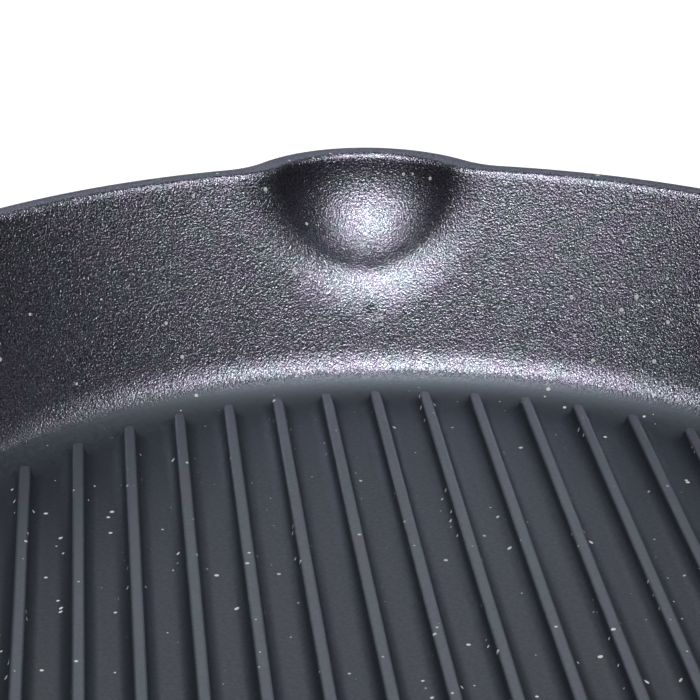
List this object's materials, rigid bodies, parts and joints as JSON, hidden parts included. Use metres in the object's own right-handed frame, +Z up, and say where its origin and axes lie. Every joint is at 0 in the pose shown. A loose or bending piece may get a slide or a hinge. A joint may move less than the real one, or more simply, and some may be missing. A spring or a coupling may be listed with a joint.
{
  "type": "grill pan",
  "caption": "Round cast-iron grill pan with a ribbed floor, opposed pouring spouts, a helper ear and a bolted-on wooden handle that ends in a swinging hanging ring.",
  "frame": {"origin": "centre of the flat underside of the base, where the pan stands", "axes": "+Z up, along the pan's axis. The ribs run along Y and point at the two spouts. The long handle leaves towards -X and the helper ear is at +X"},
  "size_m": [0.4934, 0.302, 0.0883],
  "materials": {
    "seasoned_iron": "matte, cast grain",
    "collar_steel": "brushed",
    "grip_wood": "oiled",
    "hardware_steel": "satin",
    "ring_steel": "satin"
  },
  "bodies": {
    "pan": {"pan_body": "seasoned_iron", "heat_collar": "collar_steel", "handle_grip": "grip_wood", "tie_rod": "hardware_steel", "seat_washer": "hardware_steel", "spring_washer": "hardware_steel", "eye_nut": "hardware_steel"},
    "ring": {"hanging_ring": "ring_steel"}
  },
  "joints": [
    {"name": "ring_swing", "type": "hinge", "parent": "pan", "child": "ring", "pos_m": [-0.31837, 0, 0.0779], "axis": [0, 1, 0], "range_deg": [-25, 225]}
  ]
}
